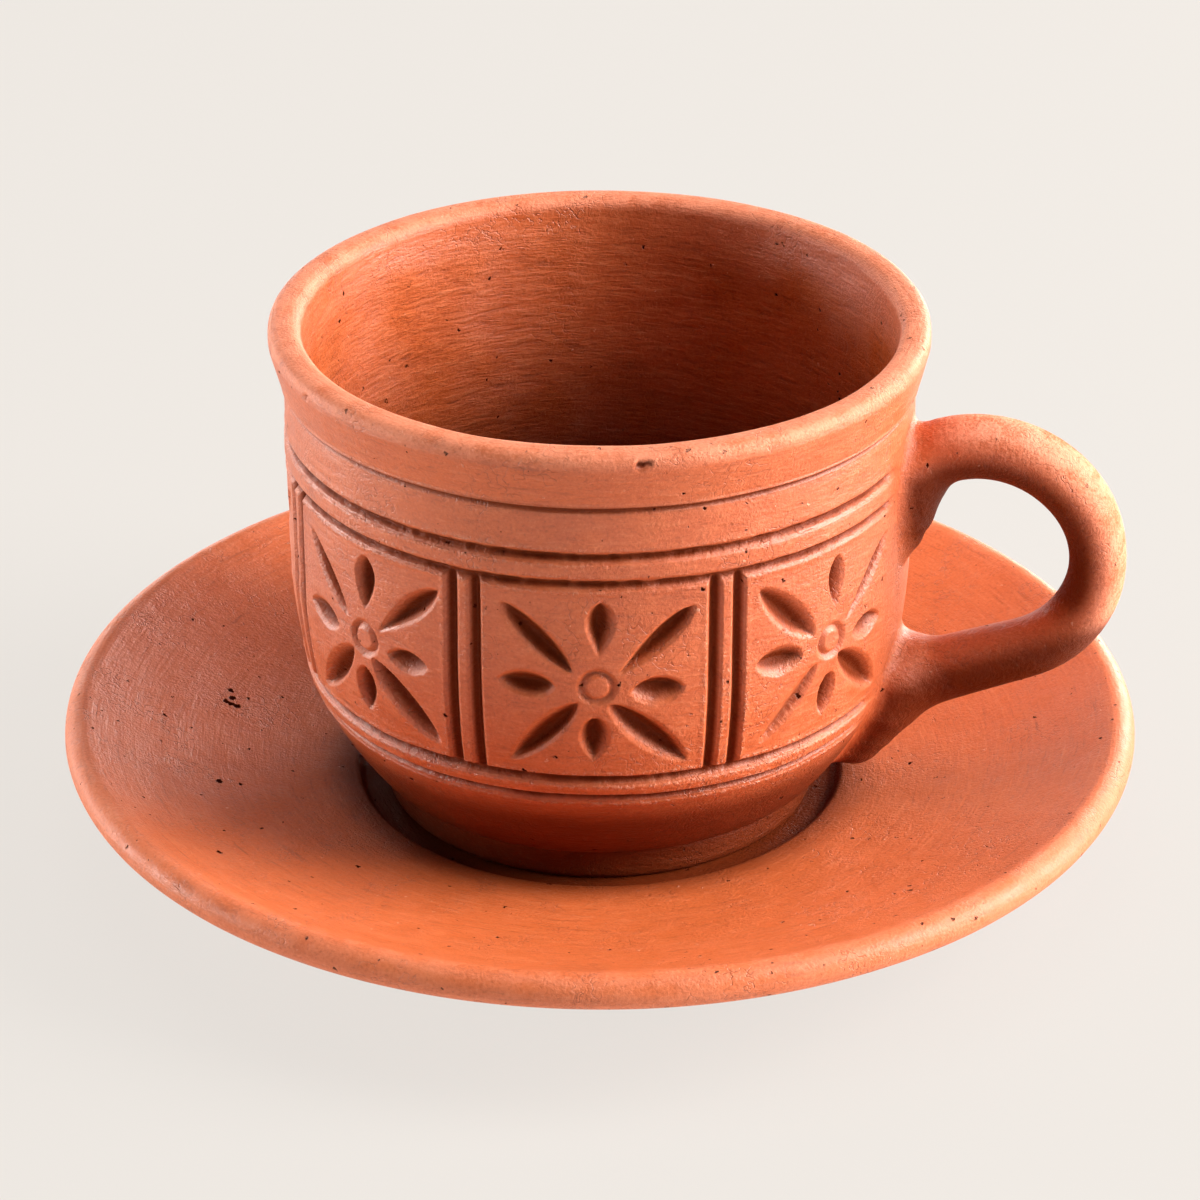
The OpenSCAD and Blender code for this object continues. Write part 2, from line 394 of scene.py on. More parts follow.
def flower(x, y, k):
    """Depth of one panel's flower at points of the panel."""
    rng = np.random.default_rng(FLOWER_SEED + k)
    x = x - FLOWER_SHIFTS[k]
    r = np.hypot(x, y)
    depth = groove(r - eye_r, eye_reach, eye_depth)
    depth -= eye_swell * smooth(eye_r - eye_reach - r, 0, 0.8)
    shares = PETAL_SHARES.get(k, [(1, 1)] * len(PETALS))
    for (start, end, width, deep, fat, keel), (wide, steep) in zip(PETALS, shares):
        stray = rng.normal(0, PETAL_STRAY, 4)
        scale = rng.normal(1, PETAL_SPREAD, 2)
        if k == STEADY_FLOWER:
            stray *= STEADY_SHARE
        cut = petal(
            x, y, np.array(start) + stray[:2], np.array(end) + stray[2:],
            width * wide * scale[0], deep * steep * scale[1], fat, keel,
        )
        depth = np.maximum(depth, cut)
    return depth


def carving(theta, z):
    """Depth cut into the wall at each height and angle, less than nothing on the burrs.

    Also the share of burr, and the depth of the straight grooves alone.
    """
    u = theta / TURN
    level = 0 * u + 0.5
    side = (theta + math.pi) % TURN - math.pi
    depth = np.zeros((len(z), len(theta)))
    raised = np.zeros_like(depth)
    for k, ring_z in enumerate(ring_zs):
        sway = layers(u, level, RING_SWAY, k)
        crumble = 1 + layers(u, level, RING_CRUMBLE, k)
        ends = HIGH_RING_ENDS if ring_z > flower_z else LOW_RING_ENDS
        fade = smooth(np.abs(np.degrees(side)), *ends)
        d = z[:, None] - ring_z - sway
        depth = np.maximum(depth, groove(d, ring_reach, ring_depth) * (crumble * fade))
        raised = np.maximum(raised, shoulder(d, ring_reach) * fade)
    lines = depth.copy()
    in_frieze = smooth(z - ring_high_z, *DIVIDER_END) * smooth(rib_low_z - z, *DIVIDER_END)
    in_frieze = in_frieze[:, None]
    for k in range(panels):
        middle = -panel_start - k * panel_turn
        x = ((theta - middle + math.pi) % TURN - math.pi) * wall_ro
        near = np.abs(x) < panel_half + PANEL_MARGIN
        gx, gy = np.meshgrid(x[near], z - flower_z)
        cut = np.where(np.abs(gx) < panel_half, flower(gx, gy, k), 0)
        depth[:, near] = np.maximum(depth[:, near], cut)
        for n in (-1, 1):
            tilt = np.random.default_rng(DIVIDER_SEED + 2 * k + n).normal(0, divider_tilt)
            d = gx + panel_half + n * divider_pitch / 2 - tilt * gy
            line = groove(d, divider_reach, divider_depth) * in_frieze
            depth[:, near] = np.maximum(depth[:, near], line)
            lines[:, near] = np.maximum(lines[:, near], line)
            raised[:, near] = np.maximum(raised[:, near], shoulder(d, divider_reach) * in_frieze)
    raised *= smooth(BURR_END - depth, 0, BURR_END)
    return depth - raised, raised / burr, lines


def ribs(z):
    """Swell of the two ribs between the paired grooves."""
    swell = np.zeros_like(z)
    for low, high in ((ring_low_z, ring_high_z), (rib_low_z, rib_high_z)):
        t = np.clip((z - low) / (high - low), 0, 1)
        swell += rib_swell * np.sin(math.pi * t) ** 2
    return swell


# Half the width of a flower and of its eye, where the mesh is finer
FLOWER_HALF = 13
EYE_HALF = 2.9


def wall_columns():
    """Angles of the columns round the wall, close together where it is carved."""
    plain, carved, eye, divider = 0.42, 0.26, 0.2, 0.17
    grid = np.linspace(0, TURN, 20000)
    turn = (-grid - panel_start + panel_turn / 2) % TURN
    x = (turn % panel_turn - panel_turn / 2) * wall_ro
    in_panel = turn < panels * panel_turn
    gap = np.full_like(grid, plain)
    gap[in_panel & (np.abs(x) < FLOWER_HALF)] = carved
    gap[in_panel & (np.abs(x) < EYE_HALF)] = eye
    gap[np.abs(panel_half - np.abs(x) - divider_pitch / 2) < 1.2] = divider
    count = np.concatenate([[0], np.cumsum(grid[1] * wall_ro / gap[:-1])])
    n = 4 * int(math.ceil(count[-1] / 4))
    return np.interp(np.linspace(0, count[-1], n + 1)[:-1], count, grid)


# Powers of the lip's two sides, where 1 is a round and less is squarer
LIP_SQUARE_OUT = 0.6
LIP_SQUARE_IN = 0.78
# Undercut below the lip's band, where the wall ends below it and where the band's face starts
BAND_CUT = 0.38
BAND_UNDER = 1.0
BAND_FACE = 0.8
# Small chips in the lip's edge: angle, height below the lip, length, height and depth
CHIPS = [
    (math.radians(-70.4), 1.35, 0.75, 0.6, 0.8),
    (math.radians(-69.2), 1.15, 0.5, 0.45, 0.6),
    (math.radians(-135.7), 1.7, 0.55, 0.45, 0.5),
    (math.radians(60), 1.2, 0.7, 0.5, 0.5),
    (math.radians(150), 1.5, 0.6, 0.4, 0.5),
]

# What the clay's tone takes from the bowl: painted shade in the lines, the crease and the chips, how pale
# the crumbly edges are, and the lip's pale colour, which is partly wear and partly painted highlight
LINE_PAINTED_SHADE = 0.7
CREASE_PAINTED_SHADE = 1.25
CHIP_PAINTED_SHADE = 1.5
LIP_CRUMBLE = 0.3
BAND_CRUMBLE = 0.25
LIP_WEAR_AND_HIGHLIGHT = 0.45
WALL_RAKED = 0.08
# Painted shade in the hollow and on the lower bowl, and the drops below lip and ring where it comes in
HOLLOW_SHADE = 0.9
HOLLOW_SHADE_DROPS = (12, 46)
HOLLOW_RAKED_DROPS = (2, 9)
BASE_SHADE = 0.84
BASE_SHADE_DROPS = (-1.5, 6)
# Height above the bowl's underside up to which it is left plain
PLAIN_BASE_H = 0.35
# Radius in the hollow below which the mesh is coarser, and heights over which the lip rises and falls
COARSE_R = 20
LIP_LIFT_ZS = (58, 72)


def chipped(theta, drop):
    """Depth of the chips at angles round the lip, drop below its top on the outer side."""
    depth = np.zeros_like(theta)
    for at, low, along, high, deep in CHIPS:
        x = ((theta - at + math.pi) % TURN - math.pi) * lip_ro
        d = np.hypot(x / along, (drop - low) / high)
        depth = np.maximum(depth, deep * smooth(1.1 - d, 0, 0.6))
    return depth


def lip_path():
    """Rounded lip from its outer to its inner side, squarer on the outer one."""
    t = np.radians(np.linspace(0, 180, 90))
    power = np.where(np.cos(t) > 0, LIP_SQUARE_OUT, LIP_SQUARE_IN)
    x = np.sign(np.cos(t)) * np.abs(np.cos(t)) ** power
    y = np.abs(np.sin(t)) ** power
    return lip_c + lip_wall / 2 * np.column_stack([x, y])


def bowl_gap(path, turned):
    """Distance between the rings along the bowl's outline, which faces outwards up to the point turned."""
    plain, frieze, eye, ring, lip, hollow = 0.55, 0.27, 0.2, 0.15, 0.3, 0.8
    z = path[:, 1]
    gap = np.full(len(path), plain)
    out = np.arange(len(path)) < turned
    gap[out & (z > ring_high_z) & (z < rib_low_z)] = frieze
    gap[out & (np.abs(z - flower_z) < EYE_HALF)] = eye
    for ring_z in ring_zs + [band_z]:
        gap[out & (np.abs(z - ring_z) < 1.0)] = ring
    gap[z > lip_c[1] - 0.5] = lip
    gap[~out & (z < lip_c[1] - 0.5)] = hollow
    return gap


def bowl_path():
    """The bowl's outline, from the middle of its underside over the lip to the middle of its floor."""
    skip = 8
    outer_z = np.arange(base_z, band_z - BAND_UNDER, 0.05)
    outer = np.column_stack([wall_at(outer_z), outer_z])
    step = fine([
        [wall_ro, band_z - BAND_UNDER],
        [wall_ro - BAND_CUT, band_z - 0.35],
        [wall_ro - BAND_CUT / 2, band_z],
        [wall_ro + lip_step * 0.8, band_z + 0.2],
        [wall_ro + lip_step, band_z + BAND_FACE],
    ])
    band = fine([[wall_ro + lip_step, band_z + BAND_FACE], [lip_ro, lip_c[1]]])
    lip = fine(lip_path())
    floor_z = base_z + bowl_floor
    corner = [wall_ri - inner_corner_r, floor_z + inner_corner_r]
    wall_in = fine([[lip_ri, lip_c[1]], [wall_ri, corner[1]]])
    round_in = fine(arc(corner, inner_corner_r, 0, -90))
    floor_in = fine([[corner[0], floor_z], [POLE_R, floor_z]])
    under = fine([[POLE_R, base_z], [base_ro - 0.5, base_z], [base_ro, base_z + 0.3]])
    after = [step, band, lip, wall_in, round_in, floor_in]
    path = np.vstack([under, outer[skip:]] + [part[1:] for part in after])
    turned = len(under) + len(outer) - skip + len(step) + len(band) + len(lip) // 2
    return resample(path, bowl_gap(path, turned))


def build_bowl(material):
    """The bowl with its lip, its carved wall and its hollow."""
    path = bowl_path()
    normal = normals_of(path)
    peak = int(np.argmax(path[:, 1]))
    z = path[:, 1]
    rows = np.arange(len(path))
    outside = (rows < peak) & (z > base_z + PLAIN_BASE_H)
    inside = rows > peak

    theta = wall_columns()
    u = theta / TURN
    depth = np.zeros((len(path), len(theta)))
    edge = np.zeros_like(depth)
    lines = np.zeros_like(depth)
    depth[outside], edge[outside], lines[outside] = carving(theta, z[outside])
    swell = np.where(outside, ribs(z), 0)
    worn_edge = LIP_CRUMBLE * hump(z, lip_z - 0.8, 0.6) + BAND_CRUMBLE * hump(z, band_z + 0.5, 0.3)
    worn_edge = np.where(outside, worn_edge, 0)
    # Painted shade in the crease under the band's overhang
    crease = np.where(outside, CREASE_PAINTED_SHADE * hump(z, band_z - 0.2, 0.55), 0)
    lift = layers(u, 0 * u + 0.3, LIP_LIFT)

    shell = Shell()
    shell.pole(base_z, 0, 0, 0)
    for i in rows:
        cols = slice(None)
        if inside[i] and z[i] < lip_c[1] - 1:
            cols = slice(None, None, 2)
        if inside[i] and path[i, 0] < COARSE_R:
            cols = slice(None, None, 4)
        t = theta[cols]
        off = swell[i] - depth[i, cols]
        if z[i] > base_z + PLAIN_BASE_H:
            off = off + wall_wobble(t, z[i] + 0 * t)
        # What the material darkens: the depth of the cuts, with more painted shade in the grooves, the
        # crease and the chips
        cut = np.clip(depth[i, cols], 0, None) + LINE_PAINTED_SHADE * lines[i, cols] + crease[i]
        if outside[i] and z[i] > lip_c[1] - 0.8:
            chip = chipped(t, lip_z - z[i])
            off = off - chip
            cut = cut + CHIP_PAINTED_SHADE * chip
        if inside[i]:
            spiral = (path[i, 0] + z[i]) / 90 + 0.9 * t / TURN
            off = off + layers(t / TURN, spiral, HOLLOW_WOBBLE)
        r = path[i, 0] + off * normal[i, 0]
        height = z[i] + off * normal[i, 1] + lift[cols] * smooth(z[i], *LIP_LIFT_ZS)
        shell.ring(r, height, t, cut, np.clip(edge[i, cols] + worn_edge[i], 0, 1), float(inside[i]))
    shell.pole(base_z + bowl_floor, 0, 0, 1)
    points, faces, (carved, crumbly, hollow) = shell.close()
    drop = lip_z - points[:, 2]
    # Painted shade, coming in down the hollow and below the lower ring
    in_hollow = HOLLOW_SHADE * smooth(drop, *HOLLOW_SHADE_DROPS)
    on_base = BASE_SHADE * smooth(ring_low_z - points[:, 2], *BASE_SHADE_DROPS)
    values = {
        "carved": carved,
        "crumbly": crumbly,
        "shade": np.where(hollow > 0, in_hollow, on_base),
        # Pale colour along the lip, partly wear and partly painted highlight
        "worn_and_highlight": LIP_WEAR_AND_HIGHLIGHT * smooth(points[:, 2], lip_z - 2.2, lip_z - 0.6),
        "raked": np.where(hollow > 0, smooth(drop, *HOLLOW_RAKED_DROPS), WALL_RAKED),
    }
    return piece("bowl", points, faces, values, "cup_bowl", "cup", material)


# Foot ring of the cup

# Painted shade over the whole foot ring
FOOT_SHADE = 0.86
FOOT_RAKED = 0.3
# How far the foot reaches up into the bowl, and how far its outline swells
FOOT_SINK = 0.25
FOOT_SWELL = 0.1


def build_foot(material):
    """The foot ring, with rounded lower edges and a groove under the bowl."""
    foot_ri = foot_ro - foot_wall
    low = foot_low[2]
    edge_z = low + foot_edge_r
    top_z = base_z + FOOT_SINK
    corner = arc([foot_ro - foot_edge_r, edge_z], foot_edge_r, -90, 0, 16)
    outer = np.array([
        [foot_ro, edge_z],
        [foot_ro + 0.02, low + 2.4],
        [foot_ro + FOOT_SWELL, base_z - 1.1],
        [foot_ro - FOOT_SWELL, base_z - 0.5],
        [foot_ro + FOOT_SWELL, top_z],
    ])
    inner = arc([foot_ri + foot_edge_r, edge_z], foot_edge_r, 180, 270, 16)
    path = np.vstack([
        fine(corner),
        fine(outer)[1:],
        fine([[foot_ro + FOOT_SWELL, top_z], [foot_ri, top_z], [foot_ri, edge_z]])[1:],
        fine(inner)[1:],
        fine([[foot_ri + foot_edge_r, low], [foot_ro - foot_edge_r, low]])[1:-1],
    ])
    path = resample(path, np.full(len(path), 0.45))
    theta = np.linspace(0, TURN, 420, endpoint=False)
    normal = normals_of(path, closed=True)
    shell = Shell()
    for (r, z), n in zip(path, normal):
        off = layers(theta / TURN, z / 20 + 0 * theta, FOOT_WOBBLE) * smooth(z, low + 0.3, low + 1.5)
        shell.ring(r + off * n[0], z + 0 * theta, theta)
    points, faces, _ = shell.close(loop=True)
    even = np.ones(len(points))
    values = {"shade": FOOT_SHADE * even, "worn_and_highlight": 0 * even, "raked": FOOT_RAKED * even}
    return piece("foot", points, faces, values, "cup_foot", "cup", material)


# Handle, as a soft union of a tube and the clay smeared at its two roots

HANDLE_LOOP_C = np.array([wall_ro + 9.8, well_z + 38.6])
HANDLE_LOOP_R = 14.6
LOOP_START = math.radians(132)
ARM_TURN = math.radians(-67)
ARM_SLOPE = math.radians(23)
ARM_RUN = 20
ARM_END = HANDLE_LOOP_C + HANDLE_LOOP_R * np.array([math.cos(ARM_TURN), math.sin(ARM_TURN)])
# Radius of the tube at shares of its length
HANDLE_SHARES = [0, 0.14, 0.3, 0.5, 0.72, 0.86, 1]
HANDLE_RADII = [4.2, 4.05, 3.95, 3.65, 3.8, 4.1, 4.6]
# How wide the smeared clay is across the handle's plane, against its height
HIGH_ROOT_WIDE = 1.25
LOW_ROOT_WIDE = 1.3
ROOT_BLEND = 2.6
WALL_BLEND = 2.2
WALL_SINK = 0.08
ROOT_SINK = 0.6
# The wall's field against a true distance
WALL_SLOPE = 0.96
# Box and step of the grid that the handle is sampled on, and how its points settle on the surface
HANDLE_NEAR = np.array([26.0, -14.0, 8.0])
HANDLE_FAR = np.array([70.0, 14.0, 68.0])
HANDLE_STEP = 0.42
SETTLE_ROUNDS = 3
SETTLE_MOST = 0.2
PROBE = 0.05
# Tones of the handle: painted shade on its inner and lower sides, a pale colour on its outer side that is
# partly wear and partly painted highlight, and the heights between which its arm turns into its arch
ARCH_ZS = (36, 42)
ARCH_SHADE = 0.85
ARM_SHADE = 0.8
ARM_SHADE_REACH = 4.2
HANDLE_WEAR_AND_HIGHLIGHT = 0.8
HANDLE_RAKED = 0.25


def handle_line():
    """Middle line of the handle as (x, z) and its radius at each point."""
    angle = np.linspace(LOOP_START, ARM_TURN, 40)
    loop = HANDLE_LOOP_C + HANDLE_LOOP_R * np.column_stack([np.cos(angle), np.sin(angle)])
    run = np.linspace(0, ARM_RUN, 10)[1:, None]
    arm = loop[-1] - run * np.array([math.cos(ARM_SLOPE), math.sin(ARM_SLOPE)])
    line = np.vstack([loop, arm])
    length = np.concatenate([[0], np.cumsum(np.linalg.norm(np.diff(line, axis=0), axis=1))])
    return line, np.interp(length / length[-1], HANDLE_SHARES, HANDLE_RADII)


def chain_field(p, line, radius, stretch):
    """Signed distance to a chain of balls joined by cones.

    The chain lies in the plane y = 0 and is wider by stretch across it.
    """
    x = p[:, 0]
    y = p[:, 1] / stretch
    z = p[:, 2]
    best = np.full(len(p), 1e9)
    for k in range(len(line) - 1):
        (ax, az), (bx, bz) = line[k], line[k + 1]
        wx = bx - ax
        wz = bz - az
        t = np.clip(((x - ax) * wx + (z - az) * wz) / (wx * wx + wz * wz), 0, 1)
        d = np.sqrt((x - ax - t * wx) ** 2 + y ** 2 + (z - az - t * wz) ** 2)
        best = np.minimum(best, d - radius[k] - t * (radius[k + 1] - radius[k]))
    return best


def soft_min(a, b, reach):
    """The lesser of two fields, with a rounded change from one to the other."""
    h = np.clip(reach - np.abs(a - b), 0, None) / reach
    return np.minimum(a, b) - h * h * reach / 4


def root_line(heights, proud, radius):
    """Balls along the wall, each standing proud of it."""
    z = np.array(heights)
    return np.column_stack([wall_at(z) + np.array(proud) - np.array(radius), z]), np.array(radius)


HANDLE_LINE = handle_line()
HIGH_ROOT = root_line([56.4, 54, 50.5, 47.6, 46.2], [4.4, 4.5, 3.6, 2.3, 1.2], [3.8, 4.0, 3.8, 3.0, 2.2])
LOW_ROOT = root_line([27, 23, 19.5, 17.2, 15.5], [6.0, 5.6, 4.8, 4.4, 2.9], [4.8, 5.0, 4.6, 4.2, 2.7])


def handle_field(p):
    """Less than nothing inside the handle, which is cut off a little below the wall's surface."""
    r = np.hypot(p[:, 0], p[:, 1])
    theta = np.arctan2(p[:, 1], p[:, 0])
    z = p[:, 2]
    out = (r - wall_at(z) - wall_wobble(theta % TURN, z)) * WALL_SLOPE
    clay = chain_field(p, *HANDLE_LINE, 1.0)
    clay = soft_min(clay, chain_field(p, *HIGH_ROOT, HIGH_ROOT_WIDE), ROOT_BLEND)
    clay = soft_min(clay, chain_field(p, *LOW_ROOT, LOW_ROOT_WIDE), ROOT_BLEND)
    u = theta % TURN / TURN
    v = z / NOISE_SPAN
    ragged = layers(u, v, ROOT_RAGGED)
    lumps = layers(u, v, HANDLE_LUMPS) * smooth(out, 0.5, 3)
    blended = soft_min(clay, out + WALL_SINK + ragged, WALL_BLEND) - lumps
    return np.maximum(np.maximum(blended, -out - ROOT_SINK), clay - WALL_BLEND)


def surface_net(field, origin, step):
    """Points and faces of the surface where a sampled field crosses zero."""
    inside = field < 0
    n = np.array(field.shape) - 1

    def corner(a, c):
        return a[c[0]:c[0] + n[0], c[1]:c[1] + n[1], c[2]:c[2] + n[2]]

    corners = [(i, j, k) for i in (0, 1) for j in (0, 1) for k in (0, 1)]
    count = sum(corner(inside, c).astype(int) for c in corners)
    active = (count > 0) & (count < 8)
    index = np.full(n, -1)
    index[active] = np.arange(active.sum())
    cells = np.argwhere(active)
    total = np.zeros((len(cells), 3))
    hits = np.zeros(len(cells))
    for c in corners:
        for axis in range(3):
            if c[axis] == 0:
                far = tuple(1 if k == axis else c[k] for k in range(3))
                a = corner(field, c)[active]
                b = corner(field, far)[active]
                cross = (a < 0) != (b < 0)
                t = a[cross] / (a[cross] - b[cross])
                total[cross] += np.array(c) + t[:, None] * np.eye(3)[axis]
                hits[cross] += 1
    points = origin + step * (cells + total / hits[:, None])
    faces = []
    one = np.eye(3, dtype=int)
    for axis in range(3):
        u, v = one[(axis + 1) % 3], one[(axis + 2) % 3]
        at = np.argwhere(inside)
        at = at[(at + one[axis] < np.array(field.shape)).all(1)]
        for sign, base in ((1, at), (-1, np.argwhere(inside) - one[axis])):
            base = base[(base >= 0).all(1)]
            other = base + one[axis] if sign > 0 else base
            changed = ~inside[tuple(other.T)]
            e = base[changed]
            e = e[((e - u - v) >= 0).all(1) & (e + one[axis] < np.array(field.shape)).all(1)]
            quad = [index[tuple((e - s * u - w * v).T)] for s, w in ((0, 0), (1, 0), (1, 1), (0, 1))]
            quad = np.column_stack(quad if sign > 0 else quad[::-1])
            faces += quad[(quad >= 0).all(1)].tolist()
    return points, faces


def settled(points):
    """Points moved onto the surface of the handle's field."""
    for _ in range(SETTLE_ROUNDS):
        value = handle_field(points)
        slope = np.column_stack([
            (handle_field(points + d) - handle_field(points - d)) / (2 * PROBE) for d in np.eye(3) * PROBE
        ])
        size = np.clip((slope ** 2).sum(1), 0.25, None)
        points = points - np.clip(value / size, -SETTLE_MOST, SETTLE_MOST)[:, None] * slope
    return points


def build_handle(material):
    """The handle, with painted shade on its inner and lower sides and a pale colour on its outer one that is
    partly wear and partly painted highlight.
    """
    axes = [np.arange(a, b, HANDLE_STEP) for a, b in zip(HANDLE_NEAR, HANDLE_FAR)]
    grid = np.stack(np.meshgrid(*axes, indexing="ij"), -1).reshape(-1, 3)
    field = handle_field(grid).reshape([len(a) for a in axes])
    points, faces = surface_net(field, HANDLE_NEAR, HANDLE_STEP)
    points = settled(points)
    x, y, z = points.T
    r = np.hypot(x, y)
    outer = np.hypot(x - HANDLE_LOOP_C[0], z - HANDLE_LOOP_C[1]) - HANDLE_LOOP_R
    arm_z = ARM_END[1] + (r - ARM_END[0]) * math.tan(ARM_SLOPE)
    in_arch = smooth(z, *ARCH_ZS)
    # Painted shade on the inner side of the arch and the lower side of the arm, fading out towards the wall
    shade = in_arch * ARCH_SHADE * smooth(1.6 - outer, 0, 3.4)
    shade += (1 - in_arch) * ARM_SHADE * smooth(arm_z + ARM_SHADE_REACH - z, 0, ARM_SHADE_REACH)
    shade *= smooth(r - wall_at(z), 0.0, 2.2)
    # Pale colour on the outer side of the arch, partly wear and partly painted highlight
    worn_and_highlight = HANDLE_WEAR_AND_HIGHLIGHT * smooth(outer, 0.2, 3.2) * smooth(r, wall_ro + 2, wall_ro + 9) * smooth(z, 33, 42)
    values = {"shade": shade, "worn_and_highlight": worn_and_highlight, "raked": np.clip(HANDLE_RAKED + shade, 0, 1)}
    return piece("handle_loop", points, faces, values, "handle", "cup", material)


# Saucer

# Painted shadow of the cup in a ring in the well round its foot, and the share of it that the middle keeps
WELL_SHADE = 0.9
WELL_MIDDLE = 0.3
# Pale colour on the rim, partly wear and partly painted highlight
RIM_WEAR_AND_HIGHLIGHT = 0.15
SAUCER_RAKED = 0.15


def saucer_path():
    """The saucer's outline, from the middle of its underside round the rim to the middle of its well."""
    rim_in = rim_c + rim_r * np.array([-math.sin(rim_lean), math.cos(rim_lean)])
    rim_under = rim_c + rim_r * np.array([math.sin(rim_lean), -math.cos(rim_lean)])
    dish_c = arc_centre((well_ro, dish_z), rim_in, dish_r)
    start = math.degrees(math.atan2(rim_in[1] - dish_c[1], rim_in[0] - dish_c[0]))
    end = math.degrees(math.atan2(dish_z - dish_c[1], well_ro - dish_c[0]))
    foot_ri = saucer_foot_ro - saucer_foot_w
    lean = math.degrees(rim_lean)
    path = np.vstack([
        fine([
            [POLE_R, saucer_foot_h], [foot_ri - 0.6, saucer_foot_h], [foot_ri, saucer_foot_h - 0.5],
            [foot_ri, 0.5], [foot_ri + 0.5, 0], [saucer_foot_ro - 0.6, 0], [saucer_foot_ro, 0.6],
            [saucer_foot_ro, saucer_foot_h - 0.6], [saucer_foot_ro + 0.8, saucer_foot_h],
        ]),
        fine([[saucer_foot_ro + 0.8, saucer_foot_h], rim_under])[1:],
        fine(arc(rim_c, rim_r, lean - 90, lean + 90))[1:],
        fine(arc(dish_c, dish_r, start, end, 120))[1:],
        fine([
            [well_ro, dish_z], [well_ro - 0.35, dish_z - 0.35],
            [well_ro - well_slope, well_z + 0.15], [well_ro - well_slope - 0.5, well_z], [POLE_R, well_z],
        ])[1:],
    ])
    plain, well, edge = 0.9, 0.3, 0.4
    gap = np.full(len(path), plain)
    gap[np.abs(path[:, 0] - well_ro) < 1.6] = well
    gap[path[:, 0] > rim_ro - 5] = edge
    gap[np.abs(path[:, 0] - saucer_foot_ro) < 1.2] = edge
    return resample(path, gap)


def build_saucer(material):
    """The dish with its well and foot, uneven on both sides of the rim."""
    path = saucer_path()
    normal = normals_of(path)
    top = np.arange(len(path)) > np.argmax(path[:, 0])
    theta = np.linspace(0, TURN, 540, endpoint=False)
    u = theta / TURN
    shell = Shell()
    shell.pole(saucer_foot_h)
    for (r, z), n, upper in zip(path, normal, top):
        v = r / NOISE_SPAN
        off = layers(u, 0 * u + v, SAUCER_WOBBLE)
        if upper:
            off = off + layers(u, v + layers(u, 0 * u, DISH_RING_SWAY), DISH_RINGS)
        off = off * smooth(r, well_ro + 1, well_ro + 6)
        if not upper:
            off = off * smooth(r, saucer_foot_ro + 2, saucer_foot_ro + 6)
        lift = layers(u, 0 * u + 0.4, RIM_LIFT) * smooth(r, 45, rim_ro)
        shell.ring(r + off * n[0], z + off * n[1] + lift, theta)
    shell.pole(well_z)
    points, faces, _ = shell.close()
    r = np.hypot(points[:, 0], points[:, 1])
    # Painted shadow round the cup's foot, on the upper side only
    ring = WELL_MIDDLE + (1 - WELL_MIDDLE) * smooth(r, foot_ro - 7, foot_ro - 1)
    shade = WELL_SHADE * smooth(well_ro + 6 - r, 0, 8) * ring
    shade *= smooth(points[:, 2], well_z - 1.5, well_z - 0.5)
    worn_and_highlight = RIM_WEAR_AND_HIGHLIGHT * smooth(r, rim_ro - 5, rim_ro - 2)
    values = {"shade": shade, "worn_and_highlight": worn_and_highlight, "raked": np.full(len(points), SAUCER_RAKED)}
    return piece("dish", points, faces, values, "saucer", "saucer", material)


# Materials

def linear(r, g, b):
    """A colour given in 0..255 as the shader's linear numbers."""
    def one(c):
        c /= 255
        return c / 12.92 if c <= 0.04045 else ((c + 0.055) / 1.055) ** 2.4
    return one(r), one(g), one(b), 1.0


CLAY_DEEP = linear(182, 82, 38)
CLAY_MID = linear(200, 98, 49)
CLAY_PALE = linear(220, 134, 92)
# Darker clay for the random tone, and the colour of painted shade
CLAY_DARK_AND_SHADE = linear(86, 27, 6)
# Colour of the painted shade in pinholes and torn spots
CLAY_PIT_SHADE = linear(48, 12, 3)
CLAY_CRUMB = linear(238, 180, 148)
# Pale colour of wear and painted highlight
CLAY_WEAR_AND_HIGHLIGHT = linear(240, 163, 134)

# Features of the clay: how many there are to a millimetre, and their height in millimetres
PATCH_SCALE = 0.03
MOTTLE_SCALE = 0.3
MOTTLE_H = 0.16
GRAIN_SCALE = 2.4
GRAIN_H = 0.11
STROKE_SCALE = 1.2
HAIR_SCALE = 3.4
SMEAR_SCALE = 1.6
SMEAR_H = 0.07
RAKE_SCALE = 0.6
RAKE_H = 0.75
FOLD_SCALE = 0.55
FOLD_H = 0.06
PIT_H = 0.4
SPECK_H = 0.08
CRUMB_SCALE = 1.7
CRUMB_H = 0.12
TEAR_SCALE = 1.1
TEAR_H = 0.22
# Strokes of the turning marks are drawn out along a circle of this radius, in millimetres
STROKE_R = 7.0

# Torn spots in the dish, as radius and angle, and the radii between which they end
SAUCER_SCARS = [
    (51.2, math.radians(179.7)), (50.5, math.radians(181.5)), (51.0, math.radians(183.0)),
    (50.2, math.radians(183.2)), (49.4, math.radians(183.3)), (50.8, math.radians(207.0)),
]
SCAR_EDGE = (0.38, 0.56)


